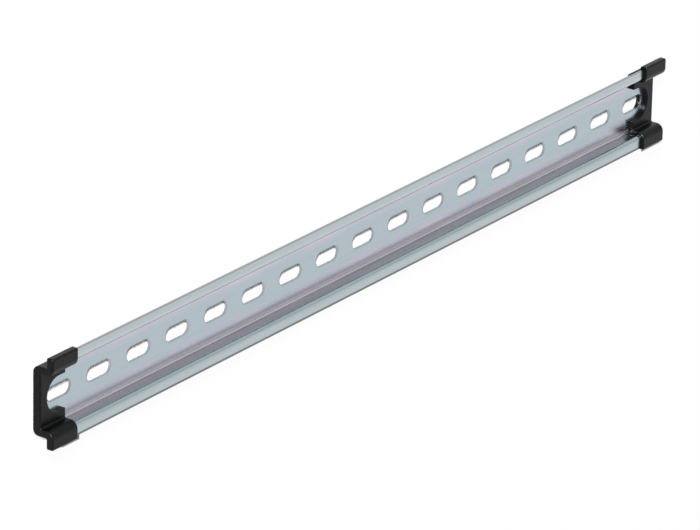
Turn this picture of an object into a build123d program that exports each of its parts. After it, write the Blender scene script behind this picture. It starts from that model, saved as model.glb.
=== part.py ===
from build123d import *
import os

# Slotted top-hat mounting rail, 35 mm wide and 7.5 mm deep, with a moulded cap pushed on each end.
# Frame: X along the rail, Y across it, +Z out of the open side of the hat. The rail lies on the
# backs of its caps, and the origin is the middle of its length and width at the lowest face.

# Rail: one strip of zinc plated steel, roll formed to a hat and punched
rail_length = 425.0
rail_width = 35.0        # over the edges of the two flanges
flange_width = 4.0       # from the outside of a side wall to the edge of its flange
rail_depth = 7.5         # from the back of the web to the front of the flanges
sheet = 1.0
bend_inside = 0.8        # inside radius of all four bends
slot_pitch = 25.0
slot_length = 15.0
slot_width = 6.2

# End caps: one moulding, used at both ends
cap_length = 15.5        # along the rail, with the end wall
fit_gap = 0.1            # between a cap and the rail, on every face
end_wall = 1.1
back_wall = 0.7          # behind the web and the flanges
web_cover = 1.9          # in front of the web
flange_cover = 1.4       # in front of the flanges
edge_wall = 1.1          # beyond the edges of the flanges
cheek_wall = 1.2         # on the inner faces of the side walls
heel_round = 2.8         # bend behind the web
brow_round = 3.3         # bend between a side wall and the front of a flange cover
edge_round = 0.8         # corners of the sleeve beyond a flange edge
inner_round = 0.6        # the hollow corners
end_round = 0.7          # round the closed end
rim_chamfer = 0.25       # round the mouth of the sleeve
screw_centre = 11.4      # of both screw openings, from the closed end
mouth_radius = 7.3       # screw opening in front of the web
window_radius = 3.9      # screw opening behind the web
tongue_length = 10.0     # spring tongue behind one flange, past the sleeve
tongue_rise = 0.2        # of its edge beyond the edge of the flange
tongue_tip = 1.0         # rounding of its tip

# Heights and half widths that the rail and the caps share
rail_back = back_wall + fit_gap
rail_front = rail_back + rail_depth
half_width = rail_width / 2
half_hat = half_width - flange_width
half_length = rail_length / 2
cap_end = -(half_length + fit_gap + end_wall)
cap_mouth = cap_end + cap_length
slot_count = int(rail_length // slot_pitch)


def hat_section(levels, walls, radii):
    """Hat section in the YZ plane: half an outline, mirrored about the middle of the web.

    levels are the heights of the web's back and front and of the flange's back and front, walls
    are the half widths over the side walls, between them and over the flange edges, and radii
    go round the half outline from the bend behind the web to the one in front of it.
    """
    web_back, web_front, flange_back, flange_front = levels
    outside, inside, edge = walls
    with BuildSketch(Plane.YZ) as section:
        with BuildLine():
            half = FilletPolyline(
                (0, web_back),
                (outside, web_back),
                (outside, flange_back),
                (edge, flange_back),
                (edge, flange_front),
                (inside, flange_front),
                (inside, web_front),
                (0, web_front),
                radius=radii,
            )
            Line(half @ 1, half @ 0)
        make_face()
        mirror(about=Plane.YZ)
    return section.sketch


def rail_section(gap):
    """Section of the rail, grown by a gap all round."""
    bend_outside = bend_inside + sheet
    return hat_section(
        levels=(rail_back - gap, rail_back + sheet + gap, rail_front - sheet - gap, rail_front + gap),
        walls=(half_hat + gap, half_hat - sheet - gap, half_width + gap),
        radii=(bend_outside + gap, bend_inside - gap, 0, 0, bend_outside + gap, bend_inside - gap),
    )


def cap_section():
    """Outside of a cap: the section of the rail with a wall of its own thickness on each face."""
    return hat_section(
        levels=(
            rail_back - fit_gap - back_wall,
            rail_back + sheet + fit_gap + web_cover,
            rail_front - sheet - fit_gap - back_wall,
            rail_front + fit_gap + flange_cover,
        ),
        walls=(
            half_hat + fit_gap + back_wall,
            half_hat - sheet - fit_gap - cheek_wall,
            half_width + fit_gap + edge_wall,
        ),
        radii=(heel_round, inner_round, edge_round, edge_round, brow_round, inner_round),
    )


# Rail: the formed strip, with a row of slots through its web
with BuildPart() as rail:
    extrude(rail_section(0), amount=half_length, both=True)
    with BuildSketch(Plane.XY.offset(rail_back)):
        with GridLocations(slot_pitch, 0, slot_count, 1):
            SlotOverall(slot_length, slot_width)
    extrude(amount=sheet, mode=Mode.SUBTRACT)

# Left cap: a sleeve closed at its outer end, open in front of and behind the outermost slot
with BuildPart() as end_cap_left:
    with Locations((cap_end, 0, 0)):
        add(extrude(cap_section(), amount=cap_length, mode=Mode.PRIVATE))
    fillet(end_cap_left.faces().sort_by(Axis.X)[0].edges(), end_round)
    chamfer(end_cap_left.faces().sort_by(Axis.X)[-1].edges(), rim_chamfer)

    # Spring tongue: the wall behind the lower flange, drawn out past the sleeve
    tongue_inner = half_hat + fit_gap + back_wall
    tongue_outer = half_width + tongue_rise
    with BuildSketch(Plane.XY.offset(rail_front - sheet - fit_gap)) as tongue:
        with Locations((cap_mouth + tongue_length, -tongue_inner)):
            Rectangle(
                tongue_length + cap_length / 2,
                tongue_outer - tongue_inner,
                align=(Align.MAX, Align.MAX),
            )
        fillet(tongue.vertices().group_by(Axis.X)[-1], tongue_tip)
    extrude(amount=-back_wall)

    # Pocket for the rail
    with Locations((-half_length - fit_gap, 0, 0)):
        add(extrude(rail_section(fit_gap), amount=rail_length, mode=Mode.PRIVATE), mode=Mode.SUBTRACT)

    # Screw openings, both running out through the mouth of the sleeve
    for level, depth, radius in (
        (rail_back + sheet, rail_depth, mouth_radius),
        (rail_back, -rail_back, window_radius),
    ):
        with BuildSketch(Plane.XY.offset(level)):
            with Locations((cap_end + screw_centre, 0)):
                Circle(radius)
                Rectangle(cap_length, 2 * radius, align=(Align.MIN, Align.CENTER))
        extrude(amount=depth, mode=Mode.SUBTRACT)

# Right cap: the same moulding, turned half round on the floor
with BuildPart() as end_cap_right:
    add(end_cap_left.part, rotation=(0, 0, 180))

os.makedirs("parts", exist_ok=True)
for name, piece in (
    ("rail", rail),
    ("end_cap_left", end_cap_left),
    ("end_cap_right", end_cap_right),
):
    piece.part.label = name
    export_step(piece.part, f"parts/{name}.step")
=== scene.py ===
"""Looks of a slotted top-hat mounting rail with a moulded cap pushed on each end.

The rail lies on the backs of its caps. X runs along the rail, Y across it, and Z out of the open
side of the hat. Lengths are in metres, and those whose names end in _mm are in millimetres.
"""

import logging
import math
from dataclasses import dataclass
from enum import Enum

import bpy
from mathutils import Matrix, Vector

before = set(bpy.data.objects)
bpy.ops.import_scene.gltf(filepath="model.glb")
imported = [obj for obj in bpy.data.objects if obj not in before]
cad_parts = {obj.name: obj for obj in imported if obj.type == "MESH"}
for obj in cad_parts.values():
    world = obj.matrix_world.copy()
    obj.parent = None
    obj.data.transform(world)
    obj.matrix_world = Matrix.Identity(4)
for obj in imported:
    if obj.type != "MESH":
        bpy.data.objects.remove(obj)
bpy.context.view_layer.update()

LOG = logging.getLogger("rail")
MM = 0.001
PER_MM = 1000.0
WHITE = (1.0, 1.0, 1.0, 1.0)
NOISE_SPAN = (0.3, 0.7)  # where nearly all of a noise's values lie
FLOAT_MIX_INPUTS = (0, 2, 3)  # share and both numbers among the Mix node's sockets
COLOUR_MIX_INPUTS = (0, 6, 7)  # share and both colours among them
COLOUR_MIX_RESULT = 2
Triple = tuple[float, float, float]
Colour = tuple[float, float, float, float]
Steps = tuple[tuple[float, float], ...]
Bands = tuple[tuple[float, Colour], ...]
Socket = bpy.types.NodeSocket
Value = Socket | float


class Slot(Enum):
    """Material slots that the record states."""

    ZINC = "zinc_steel"
    PLASTIC = "black_plastic"


class Grain(Enum):
    """Which way the fine marks of a surface run, as the scale of its noise along X, Y and Z."""

    ALONG_STRIP = (0.03, 1.0, 1.0)
    EVEN = (1.0, 1.0, 1.0)


def srgb(red: int, green: int, blue: int) -> Colour:
    """Linear colour of a display colour.

    Args:
        red: Red as displayed, from 0 to 255.
        green: Green as displayed, from 0 to 255.
        blue: Blue as displayed, from 0 to 255.

    Returns:
        The linear red, green and blue, and an alpha of 1.
    """
    gamma, offset, knee, slope = 2.4, 0.055, 0.04045, 12.92
    levels = [
        c / slope if c <= knee else ((c + offset) / (1 + offset)) ** gamma
        for c in (red / 255, green / 255, blue / 255)
    ]
    return (*levels, 1.0)


class Graph:
    """A node tree with short calls that add one node and link what feeds it."""

    def __init__(self, tree: bpy.types.NodeTree) -> None:
        """Start on an empty tree.

        Args:
            tree: The tree of a material, a world or a node group.
        """
        self.tree = tree
        tree.nodes.clear()

    def add(self, kind: str, inputs: dict | None = None, **settings: object) -> bpy.types.Node:
        """Add a node.

        Args:
            kind: The node's type, without the word ShaderNode.
            inputs: What goes into its sockets, by name or number: a value or another socket.
            settings: The node's own properties.

        Returns:
            The new node.
        """
        node = self.tree.nodes.new(kind if kind.startswith("NodeGroup") else f"ShaderNode{kind}")
        for key, value in settings.items():
            setattr(node, key, value)
        for key, value in (inputs or {}).items():
            if isinstance(value, Socket):
                self.tree.links.new(value, node.inputs[key])
            else:
                node.inputs[key].default_value = value
        return node

    def maths(self, operation: str, *values: Value) -> Socket:
        """Add a Math node and return its result."""
        return self.add("Math", dict(enumerate(values)), operation=operation).outputs[0]

    def span(
        self, value: Socket, low: float, high: float, start: float = 0.0, end: float = 1.0
    ) -> Socket:
        """Map a value smoothly from one range to another.

        Args:
            value: The value to map.
            low: Where the range begins.
            high: Where the range ends.
            start: The result at low.
            end: The result at high.

        Returns:
            The mapped value.
        """
        names = {"Value": value, "From Min": low, "From Max": high, "To Min": start, "To Max": end}
        return self.add("MapRange", names, interpolation_type="SMOOTHSTEP").outputs[0]

    def mix(self, share: Value, first: Socket | Colour, second: Socket | Colour) -> Socket:
        """Mix two colours.

        Args:
            share: How much of the second colour.
            first: The first colour.
            second: The second colour.

        Returns:
            The mixed colour.
        """
        values = dict(zip(COLOUR_MIX_INPUTS, (share, first, second)))
        return self.add("Mix", values, data_type="RGBA").outputs[COLOUR_MIX_RESULT]

    def ramp(self, share: Socket, stops: Bands) -> Socket:
        """Read a colour off a ramp.

        Args:
            share: Where on the ramp, from 0 to 1.
            stops: Places on the ramp with their colours, in order.

        Returns:
            The colour.
        """
        node = self.add("ValToRGB", {0: share})
        elements = node.color_ramp.elements
        elements[0].position, elements[0].color = stops[0]
        elements[1].position, elements[1].color = stops[-1]
        for place, colour in stops[1:-1]:
            elements.new(place).color = colour
        return node.outputs[0]

    def place_mm(self, scale: Triple = (1.0, 1.0, 1.0)) -> Socket:
        """Place on the piece in millimetres, stretched on each axis.

        Args:
            scale: How much the place is stretched along X, Y and Z.

        Returns:
            The place.
        """
        place = self.add("TexCoord").outputs["Object"]
        per_axis = tuple(PER_MM * s for s in scale)
        return self.add("Mapping", {"Vector": place, "Scale": per_axis}).outputs[0]


@dataclass(frozen=True)
class FineMarks:
    """Shared effect: a fine noise over a broad one, for grain and for patchy tone."""

    name: str = "fine_marks"
    detail: float = 4.0
    broad_detail: float = 2.0

    def group(self) -> bpy.types.NodeTree:
        """Return the node group, made on its first use.

        Returns:
            The group, with the inputs Vector, Fine Scale, Broad Scale and Broad Share, and the
            outputs Height and Tone, both from 0 to 1.
        """
        known = bpy.data.node_groups.get(self.name)
        if known:
            return known
        tree = bpy.data.node_groups.new(self.name, "ShaderNodeTree")
        sockets = tree.interface.new_socket
        sockets("Vector", in_out="INPUT", socket_type="NodeSocketVector")
        for label in ("Fine Scale", "Broad Scale", "Broad Share"):
            sockets(label, in_out="INPUT", socket_type="NodeSocketFloat")
        for label in ("Height", "Tone"):
            sockets(label, in_out="OUTPUT", socket_type="NodeSocketFloat")
        graph = Graph(tree)
        given = graph.add("NodeGroupInput").outputs
        fine = graph.add(
            "TexNoise", {"Vector": given["Vector"], "Scale": given["Fine Scale"], "Detail": self.detail}
        ).outputs[0]
        broad = graph.add(
            "TexNoise",
            {"Vector": given["Vector"], "Scale": given["Broad Scale"], "Detail": self.broad_detail},
        ).outputs[0]
        parts = dict(zip(FLOAT_MIX_INPUTS, (given["Broad Share"], fine, broad)))
        height = graph.add("Mix", parts, data_type="FLOAT").outputs[0]
        graph.add("NodeGroupOutput", {"Height": height, "Tone": broad})
        return tree

    def use(
        self, graph: Graph, place: Socket, fine: float, broad: float, share: float
    ) -> tuple[Socket, Socket]:
        """Place the group in a material.

        Args:
            graph: The material's graph.
            place: The place that the noise reads.
            fine: Scale of the fine noise.
            broad: Scale of the broad noise.
            share: How much of the broad noise the height takes.

        Returns:
            The height and the tone.
        """
        node = graph.add("Group", node_tree=self.group())
        graph.tree.links.new(place, node.inputs["Vector"])
        for label, value in (("Fine Scale", fine), ("Broad Scale", broad), ("Broad Share", share)):
            node.inputs[label].default_value = value
        return node.outputs["Height"], node.outputs["Tone"]


@dataclass(frozen=True)
class ZincPlate:
    """Zinc plating under a thin clear film, on roll formed strip with punched slots.

    Places across the strip count from its middle as if it lay flat, up to the edge of a flange.
    """

    # Roughness, and what the drawn zone, the side walls and the torn walls of the slots add
    roughness: float = 0.22
    roughness_swing: float = 0.04
    drawn_roughness: float = 0.21
    wall_roughness: float = -0.06
    torn_roughness: float = 0.15
    # Relief of the surface
    grit_share: float = 0.3
    bump_strength: float = 0.06
    bump_mm: float = 0.01
    # Zones: drawn by the rolls beside the web's bend, then the bend, then the side wall
    web_front_mm: float = 1.8
    drawn_from_mm: float = 10.0
    drawn_to_mm: float = 11.3
    bend_from_mm: float = 11.7
    bend_to_mm: float = 12.5
    wall_to_mm: float = 17.2
    wall_fade_mm: float = 1.0
    # Bend of the flange on the +Y side: a painted highlight, and a painted dark reflection line that is
    # fainter towards the left end
    wall_side_mm: float = 12.3
    brow_from_mm: float = 17.6
    brow_to_mm: float = 18.4
    highlight_from_mm: float = 21.1
    highlight_to_mm: float = 21.9
    highlight_tint: Colour = srgb(190, 198, 205)
    dark_reflection_from_mm: float = 19.1
    dark_reflection_to_mm: float = 19.7
    dark_reflection_tint: Colour = srgb(118, 120, 132)
    dark_reflection_faint_to_mm: float = 120.0
    dark_reflection_full_from_mm: float = 190.0
    dark_reflection_faint_share: float = 0.7
    # Film: blue grey on the web, lilac by the bends, greenish on the flanges, with a painted highlight in
    # the light band where the side walls bend into the flanges
    bands: Bands = (
        (0.0, srgb(178, 191, 198)),
        (5.4, srgb(178, 190, 198)),
        (6.8, srgb(184, 191, 201)),
        (8.0, srgb(190, 192, 204)),
        (9.2, srgb(201, 199, 211)),
        (11.0, srgb(212, 206, 214)),
        (12.0, srgb(197, 193, 197)),
        (12.6, srgb(195, 193, 197)),
        (13.2, srgb(178, 175, 180)),
        (15.0, srgb(176, 178, 182)),
        (16.8, srgb(176, 182, 185)),
        # painted highlight where the side walls bend into the flanges
        (17.8, srgb(197, 207, 211)),
        (18.7, srgb(180, 191, 195)),
        (19.5, srgb(169, 181, 185)),
        (20.8, srgb(175, 187, 191)),
        (21.7, srgb(182, 193, 197)),
        (26.0, srgb(184, 195, 199)),
    )
    band_reach_mm: float = 26.0
    band_wander_mm: float = 0.9
    cloud_span: tuple[float, float] = (0.25, 0.75)
    held_from_mm: float = 9.0
    held_wander: float = 0.4
    # Streaks along the strip
    streak_tint: Colour = srgb(150, 158, 164)
    streak_share: float = 0.06
    # Edges of the flanges: painted edge shade, darker on the -Y side, where it stands for a shadow line
    # beside the edge
    edge_shade_from_mm: float = 16.9
    edge_shade_depth_mm: float = 0.5
    edge_shade_share: float = 0.9
    plus_y_edge_shade_tint: Colour = srgb(146, 152, 153)
    minus_y_edge_shadow_tint: Colour = srgb(98, 104, 105)
    # Slots: rims darkened as rolled-in edges, with painted shade that makes them darker on the -Y side, and
    # torn walls
    pitch_mm: float = 25.0
    slot_straight_mm: float = 4.4
    slot_radius_mm: float = 3.1
    rim_mm: float = 0.50
    rim_and_shade_share_minus_y: float = 0.75
    rim_and_shade_share_plus_y: float = 0.35
    rim_turn_mm: float = 1.0
    rim_and_shade_tint: Colour = srgb(126, 128, 132)
    torn_reach_mm: float = 0.1
    torn_tint: Colour = srgb(160, 163, 166)
    level_from: float = 0.5

    def material(self) -> bpy.types.Material:
        """Make the plated steel.

        Returns:
            The material.
        """
        steel = bpy.data.materials.new("zinc_plate")
        steel.use_nodes = True
        graph = Graph(steel.node_tree)
        marks = FineMarks()
        height, streak = marks.use(
            graph, graph.place_mm(Grain.ALONG_STRIP.value), fine=6.0, broad=1.1, share=0.3
        )
        grit, cloud = marks.use(graph, graph.place_mm(Grain.EVEN.value), fine=9.0, broad=0.03, share=0.1)
        along, across, height_mm = graph.add("SeparateXYZ", {0: graph.place_mm()}).outputs
        off_middle = graph.maths("ABSOLUTE", across)
        climb = graph.maths("MAXIMUM", graph.maths("SUBTRACT", height_mm, self.web_front_mm), 0.0)
        unrolled = graph.maths("ADD", off_middle, climb)
        rim, torn = self._punched(graph, along, across)
        tint = self._film_and_highlight(graph, unrolled, cloud)
        tint = self._paint_bend_highlight_and_reflection(graph, tint, unrolled, along, across)
        streaks = graph.span(streak, *NOISE_SPAN, 0.0, self.streak_share)
        tint = graph.mix(streaks, tint, self.streak_tint)
        # painted shade: the rims of the slots are darker on the -Y side than on the +Y side
        rim_share = graph.span(
            across, -self.rim_turn_mm, self.rim_turn_mm, self.rim_and_shade_share_minus_y, self.rim_and_shade_share_plus_y
        )
        tint = graph.mix(graph.maths("MULTIPLY", rim, rim_share), tint, self.rim_and_shade_tint)
        tint = graph.mix(torn, tint, self.torn_tint)
        tint = self._edge_shade(graph, tint, off_middle, across)
        relief = graph.maths("MULTIPLY_ADD", grit, self.grit_share, height)
        bump = graph.add(
            "Bump",
            {"Strength": self.bump_strength, "Distance": self.bump_mm * MM, "Height": relief},
        ).outputs[0]
        rough = self._rough(graph, unrolled, streak, torn)
        shader = graph.add(
            "BsdfPrincipled",
            {"Base Color": tint, "Metallic": 1.0, "Roughness": rough, "Normal": bump},
        )
        graph.add("OutputMaterial", {"Surface": shader.outputs[0]})
        return steel

    def _film_and_highlight(self, graph: Graph, unrolled: Socket, cloud: Socket) -> Socket:
        """Tint of the film in bands along the strip, with a painted highlight in the band on the bend into
        the flanges.

        Args:
            graph: The material's graph.
            unrolled: Place across the strip in millimetres.
            cloud: Broad noise that lets the bands wander.

        Returns:
            The tint.
        """
        wander = graph.span(cloud, *self.cloud_span, -self.band_wander_mm, self.band_wander_mm)
        held = graph.span(unrolled, self.held_from_mm, self.drawn_to_mm, 1.0, self.held_wander)
        reach = graph.maths("MULTIPLY_ADD", wander, held, unrolled)
        stops = tuple((place / self.band_reach_mm, colour) for place, colour in self.bands)
        return graph.ramp(graph.maths("DIVIDE", reach, self.band_reach_mm), stops)

    def _paint_bend_highlight_and_reflection(self, graph: Graph, tint: Socket, unrolled: Socket, along: Socket, across: Socket) -> Socket:
        """Paint a highlight and a dark reflection line on the bend of the flange on the +Y side.

        Args:
            graph: The material's graph.
            tint: The tint so far.
            unrolled: Place across the strip in millimetres.
            along: Place along the rail in millimetres.
            across: Place across the rail in millimetres.

        Returns:
            The tint with both.
        """
        upper = graph.maths("GREATER_THAN", across, self.wall_side_mm)
        past_wall = graph.span(unrolled, self.brow_from_mm, self.brow_to_mm)
        upper = graph.maths("MULTIPLY", upper, past_wall)
        # painted highlight on the flange, and a painted dark reflection line that is fainter towards the
        # left end
        highlight_band = graph.span(unrolled, self.highlight_from_mm, self.highlight_to_mm, 1.0, 0.0)
        tint = graph.mix(graph.maths("MULTIPLY", upper, highlight_band), tint, self.highlight_tint)
        dark_reflection_band = graph.span(unrolled, self.dark_reflection_from_mm, self.dark_reflection_to_mm, 1.0, 0.0)
        fade_to_left = graph.span(along, self.dark_reflection_faint_to_mm, self.dark_reflection_full_from_mm, self.dark_reflection_faint_share, 1.0)
        dark_reflection_band = graph.maths("MULTIPLY", graph.maths("MULTIPLY", upper, dark_reflection_band), fade_to_left)
        return graph.mix(dark_reflection_band, tint, self.dark_reflection_tint)

    def _edge_shade(self, graph: Graph, tint: Socket, off_middle: Socket, across: Socket) -> Socket:
        """Paint shade on the edges of the strip, darker on the -Y side as a shadow line.

        Args:
            graph: The material's graph.
            tint: The tint so far.
            off_middle: Distance from the middle of the rail in millimetres.
            across: Place across the rail in millimetres.

        Returns:
            The tint with the edges.
        """
        edge_shade_mask = graph.span(off_middle, self.edge_shade_from_mm, self.edge_shade_from_mm + self.edge_shade_depth_mm)
        # painted shadow line: the -Y edge is darker than the +Y edge
        minus_y_side = graph.maths("LESS_THAN", across, 0.0)
        edge = graph.mix(minus_y_side, self.plus_y_edge_shade_tint, self.minus_y_edge_shadow_tint)
        return graph.mix(graph.maths("MULTIPLY", edge_shade_mask, self.edge_shade_share), tint, edge)

    def _rough(self, graph: Graph, unrolled: Socket, streak: Socket, torn: Socket) -> Socket:
        """Roughness of the plating.

        Args:
            graph: The material's graph.
            unrolled: Place across the strip in millimetres.
            streak: Noise drawn out along the strip.
            torn: Mask of the walls of the slots.

        Returns:
            The roughness.
        """
        rough = graph.span(streak, *NOISE_SPAN, self.roughness, self.roughness + self.roughness_swing)
        rough = graph.maths("MULTIPLY_ADD", torn, self.torn_roughness, rough)
        drawn = graph.span(unrolled, self.drawn_from_mm, self.drawn_to_mm)
        past_bend = graph.span(unrolled, self.bend_from_mm, self.bend_to_mm)
        drawn = graph.maths("MULTIPLY", drawn, graph.maths("SUBTRACT", 1.0, past_bend))
        rough = graph.maths("MULTIPLY_ADD", drawn, self.drawn_roughness, rough)
        wall_end = graph.span(unrolled, self.wall_to_mm, self.wall_to_mm + self.wall_fade_mm, 1.0, 0.0)
        side = graph.maths("MULTIPLY", past_bend, wall_end)
        return graph.maths("MULTIPLY_ADD", side, self.wall_roughness, rough)

    def _punched(self, graph: Graph, along: Socket, across: Socket) -> tuple[Socket, Socket]:
        """Masks of the rolled-in rims of the slots and of their torn walls.

        Args:
            graph: The material's graph.
            along: Place along the rail in millimetres.
            across: Place across it in millimetres.

        Returns:
            The mask of the rims and the mask of the walls.
        """
        half = 0.5 * self.pitch_mm
        in_pitch = graph.maths("ABSOLUTE", graph.maths("WRAP", along, half, -half))
        past_straight = graph.maths(
            "MAXIMUM", graph.maths("SUBTRACT", in_pitch, self.slot_straight_mm), 0.0
        )
        squares = graph.maths(
            "ADD", graph.maths("POWER", past_straight, 2.0), graph.maths("POWER", across, 2.0)
        )
        out = graph.maths("SUBTRACT", graph.maths("SQRT", squares), self.slot_radius_mm)
        facing = graph.add("SeparateXYZ", {0: graph.add("TexCoord").outputs["Normal"]}).outputs[2]
        level = graph.maths("GREATER_THAN", graph.maths("ABSOLUTE", facing), self.level_from)
        rim = graph.maths("MULTIPLY", graph.span(out, 0.0, self.rim_mm, 1.0, 0.0), level)
        near = graph.maths("LESS_THAN", out, self.torn_reach_mm)
        torn = graph.maths("MULTIPLY", near, graph.maths("SUBTRACT", 1.0, level))
        return rim, torn


@dataclass(frozen=True)
class MouldedPlastic:
    """Black moulded plastic with a fine matt texture from the mould."""

    shade: Colour = srgb(4, 4, 5)
    rubbed: Colour = srgb(8, 8, 9)
    rubbed_span: tuple[float, float] = (0.35, 0.7)
    gloss: float = 0.165
    roughness: float = 0.29
    roughness_swing: float = 0.10
    bump_strength: float = 0.15
    bump_mm: float = 0.03

    def material(self) -> bpy.types.Material:
        """Make the black plastic.

        Returns:
            The material.
        """
        plastic = bpy.data.materials.new("moulded_plastic")
        plastic.use_nodes = True
        graph = Graph(plastic.node_tree)
        height, tone = FineMarks().use(
            graph, graph.place_mm(Grain.EVEN.value), fine=5.0, broad=0.6, share=0.15
        )
        tint = graph.mix(graph.span(tone, *self.rubbed_span), self.shade, self.rubbed)
        rough = graph.span(height, *NOISE_SPAN, self.roughness, self.roughness + self.roughness_swing)
        bump = graph.add(
            "Bump",
            {"Strength": self.bump_strength, "Distance": self.bump_mm * MM, "Height": height},
        ).outputs[0]
        shader = graph.add(
            "BsdfPrincipled",
            {"Base Color": tint, "Roughness": rough, "Normal": bump, "Specular IOR Level": self.gloss},
        )
        graph.add("OutputMaterial", {"Surface": shader.outputs[0]})
        return plastic


def shown_ray(graph: Graph) -> Socket:
    """Mask of the rays that show the background, directly or in a glossy or clear surface.

    Args:
        graph: The graph of the floor or of the air.

    Returns:
        1 for those rays and 0 for the rest.
    """
    rays = graph.add("LightPath").outputs
    direct = graph.maths("MAXIMUM", rays["Is Camera Ray"], rays["Is Glossy Ray"])
    return graph.maths("MAXIMUM", direct, rays["Is Transmission Ray"])


@dataclass(frozen=True)
class PaleFloor:
    """White floor that keeps the shadows beneath the object and loses them just beside it.

    Near is the -Y side of the object and far the other. Edges and sharpness come in steps along
    the rail, each with the place where it starts. One slot's worth of floor stays free of shadow.
    """

    colour: Colour = (0.8, 0.8, 0.8, 1.0)
    shown_colour: Colour = (1.12, 1.12, 1.12, 1.0)
    left_end_mm: float = -213.4
    right_end_mm: float = 228.0
    near_edges_mm: Steps = ((-213.4, 18.8), (-204.5, 25.4), (-184.5, 23.80), (212.0, 25.4))
    near_sharpness: Steps = ((-213.4, 1.0), (-184.5, 2.6), (212.0, 1.0))
    far_edges_mm: Steps = ((-213.4, -11.0), (214.8, 20.0))
    slot_ends_mm: tuple[float, float] = (-206.0, -187.0)
    slot_sides_mm: tuple[float, float] = (-0.6, 6.0)
    corner_slope: float = 0.68
    corner_mm: float = 157.6
    fade_mm: float = 0.8
    corner_fade_mm: float = 1.9
    # Share of the shadows that shows beneath the object, and elsewhere
    kept: float = 1.0
    faint: float = 0.03

    def material(self) -> bpy.types.Material:
        """Make the floor's material.

        Returns:
            The material.
        """
        floor = bpy.data.materials.new("pale_floor")
        floor.use_nodes = True
        graph = Graph(floor.node_tree)
        lit = graph.add("BsdfDiffuse", {"Color": self.colour}).outputs[0]
        shown = graph.add("BsdfDiffuse", {"Color": self.shown_colour}).outputs[0]
        glow = graph.add("Emission", {"Color": WHITE, "Strength": 1.0}).outputs[0]
        share = graph.maths("MULTIPLY_ADD", self._beneath(graph), self.kept - self.faint, self.faint)
        page = graph.add("MixShader", {0: share, 1: glow, 2: shown}).outputs[0]
        surface = graph.add("MixShader", {0: shown_ray(graph), 1: lit, 2: page}).outputs[0]
        graph.add("OutputMaterial", {"Surface": surface})
        return floor

    def _beneath(self, graph: Graph) -> Socket:
        """Mask of the floor beneath the object, softly ended.

        Args:
            graph: The floor's graph.

        Returns:
            1 beneath the object and 0 elsewhere.
        """
        along, across = graph.add("SeparateXYZ", {0: graph.place_mm()}).outputs[:2]
        nearness = graph.maths("MULTIPLY", across, -1.0)
        past_near = graph.maths("SUBTRACT", nearness, self._stepped(graph, along, self.near_edges_mm))
        past_near = graph.maths("MULTIPLY", past_near, self._stepped(graph, along, self.near_sharpness))
        past_far = graph.maths("SUBTRACT", self._stepped(graph, along, self.far_edges_mm), nearness)
        past_corner = graph.maths("MULTIPLY_ADD", along, -self.corner_slope, nearness)
        edges = (
            (graph.maths("MULTIPLY", along, -1.0), -self.left_end_mm, self.fade_mm),
            (along, self.right_end_mm, self.fade_mm),
            (past_near, 0.0, self.fade_mm),
            (past_far, 0.0, self.fade_mm),
            (past_corner, self.corner_mm, self.corner_fade_mm),
        )
        mask = 1.0
        for place, end, fade in edges:
            mask = graph.maths("MULTIPLY", mask, graph.span(place, end, end + fade, 1.0, 0.0))
        in_slot = 1.0
        for place, (start, end) in ((along, self.slot_ends_mm), (nearness, self.slot_sides_mm)):
            in_slot = graph.maths("MULTIPLY", in_slot, graph.span(place, start, start + self.fade_mm))
            in_slot = graph.maths("MULTIPLY", in_slot, graph.span(place, end - self.fade_mm, end, 1.0, 0.0))
        return graph.maths("MULTIPLY", mask, graph.maths("SUBTRACT", 1.0, in_slot))

    def _stepped(self, graph: Graph, along: Socket, steps: Steps) -> Value:
        """Value that changes in steps along the rail.

        Args:
            graph: The floor's graph.
            along: Place along the rail in millimetres.
            steps: Where each step starts and its value, from the left end on.

        Returns:
            The value at each place.
        """
        previous = value = steps[0][1]
        for start, beyond in steps[1:]:
            past = graph.maths("GREATER_THAN", along, start)
            value = graph.maths("MULTIPLY_ADD", past, beyond - previous, value)
            previous = beyond
        return value


@dataclass
class Rail:
    """The punched and formed strip: the CAD node, plated."""

    node: str = "rail"
    finish: ZincPlate = ZincPlate()

    def build(self) -> list[bpy.types.Object]:
        """Dress the strip.

        Returns:
            The pieces of this sub-assembly.
        """
        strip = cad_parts[self.node]
        dress(strip, self.finish.material())
        return [strip]


@dataclass
class EndCaps:
    """The two mouldings pushed on the ends of the rail: the CAD nodes, in black plastic."""

    nodes: tuple[str, str] = ("end_cap_left", "end_cap_right")
    finish: MouldedPlastic = MouldedPlastic()

    def build(self) -> list[bpy.types.Object]:
        """Dress both caps.

        Returns:
            The pieces of this sub-assembly.
        """
        plastic = self.finish.material()
        caps = [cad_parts[node] for node in self.nodes]
        for cap in caps:
            dress(cap, plastic)
        return caps


def dress(piece: bpy.types.Object, material: bpy.types.Material) -> None:
    """Give a piece its one material.

    Args:
        piece: The piece to dress.
        material: Its material.
    """
    piece.data.materials.clear()
    piece.data.materials.append(material)


@dataclass(frozen=True)
class SoftBox:
    """A square lamp that faces the object."""

    name: str
    towards: Triple
    distance: float
    width: float
    level: float

    def build(self) -> None:
        """Add the lamp. Its level is what it adds to a white card that faces it."""
        lamp = bpy.data.lights.new(self.name, "AREA")
        lamp.shape = "SQUARE"
        lamp.size = self.width
        lamp.energy = self.level * (math.pi * self.distance) ** 2
        holder = bpy.data.objects.new(self.name, lamp)
        bpy.context.scene.collection.objects.link(holder)
        direction = Vector(self.towards).normalized()
        turn = direction.to_track_quat("Z", "Y").to_matrix().to_4x4()
        holder.matrix_world = Matrix.Translation(direction * self.distance) @ turn


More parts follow.
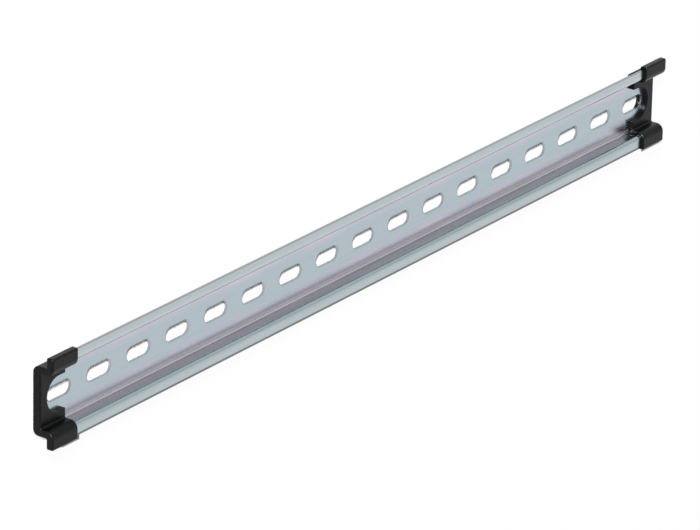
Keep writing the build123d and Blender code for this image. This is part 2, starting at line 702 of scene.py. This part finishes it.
@dataclass(frozen=True)
class PhotoCamera:
    """The camera, turned and placed as it was for the photograph."""

    yaw_degrees: float = 55.29
    pitch_degrees: float = 21.57
    roll_degrees: float = 1.24
    distance: float = 2.47086
    aim: Triple = (0.0, 0.0, 0.00455)
    right_of_aim: float = -0.00741
    above_aim: float = -0.01017
    focal_pixels: float = 6147.41
    image_width_pixels: int = 700
    sensor_mm: float = 36.0
    nearest: float = 0.1
    farthest: float = 100.0

    def build(self) -> None:
        """Add the camera and make it the scene's own."""
        yaw, pitch, roll = (
            math.radians(a) for a in (self.yaw_degrees, self.pitch_degrees, self.roll_degrees)
        )
        level = Vector((math.cos(yaw), 0, math.sin(yaw)))
        back = Vector((-math.sin(yaw) * math.cos(pitch), math.sin(pitch), math.cos(yaw) * math.cos(pitch)))
        upright = back.cross(level)
        right = math.cos(roll) * level + math.sin(roll) * upright
        up = -math.sin(roll) * level + math.cos(roll) * upright
        eye = Vector(self.aim) + self.distance * back + self.right_of_aim * right + self.above_aim * up
        data = bpy.data.cameras.new("photo_camera")
        data.sensor_width = self.sensor_mm
        data.lens = self.focal_pixels * self.sensor_mm / self.image_width_pixels
        data.clip_start = self.nearest
        data.clip_end = self.farthest
        camera = bpy.data.objects.new("photo_camera", data)
        bpy.context.scene.collection.objects.link(camera)
        camera.matrix_world = Matrix.Translation(eye) @ Matrix((right, up, back)).transposed().to_4x4()
        bpy.context.scene.camera = camera


@dataclass
class Studio:
    """Pale floor, soft light and the camera."""

    floor_width: float = 60.0
    floor_drop: float = 0.02 * MM
    air_level: float = 0.20
    dim_side: Colour = srgb(228, 231, 232)
    dim_from: float = -0.15
    dim_to: float = 0.20
    lamps: tuple[SoftBox, ...] = (
        SoftBox("key_light", towards=(-1.45, 1.34, 1.0), distance=4.0, width=0.55, level=1.7),
    )

    def build(self) -> None:
        """Add the floor, the air, the lamps and the camera."""
        self._floor()
        self._air()
        for lamp in self.lamps:
            lamp.build()
        PhotoCamera().build()
        bpy.context.scene.view_settings.view_transform = "Standard"

    def _floor(self) -> None:
        """Lay the floor just under the lowest face."""
        bpy.ops.object.select_all(action="DESELECT")
        bpy.ops.mesh.primitive_plane_add(size=self.floor_width, location=(0, 0, -self.floor_drop))
        floor = bpy.context.object
        floor.name = "studio_floor"
        floor.data.materials.append(PaleFloor().material())

    def _air(self) -> None:
        """Fill the air with even light, white where the camera shows it and dimmer behind the key."""
        world = bpy.data.worlds.new("studio_air")
        world.use_nodes = True
        graph = Graph(world.node_tree)
        level = graph.span(shown_ray(graph), 0.0, 1.0, self.air_level, 1.0)
        towards = graph.add("SeparateXYZ", {0: graph.add("TexCoord").outputs["Generated"]}).outputs[1]
        seen = graph.add("LightPath").outputs["Is Camera Ray"]
        dim = graph.span(towards, self.dim_from, self.dim_to)
        dim = graph.maths("MULTIPLY", dim, graph.maths("SUBTRACT", 1.0, seen))
        colour = graph.mix(dim, WHITE, self.dim_side)
        air = graph.add("Background", {"Color": colour, "Strength": level}).outputs[0]
        graph.add("OutputWorld", {"Surface": air})
        bpy.context.scene.world = world


def main() -> None:
    """Build the sub-assemblies in order, then the studio, and report each piece."""
    logging.basicConfig(level=logging.INFO, format="%(name)s: %(message)s")
    for assembly in (Rail(), EndCaps()):
        for piece in assembly.build():
            LOG.info("%s has %d faces", piece.name, len(piece.data.polygons))
    Studio().build()


if __name__ == "__main__":
    main()
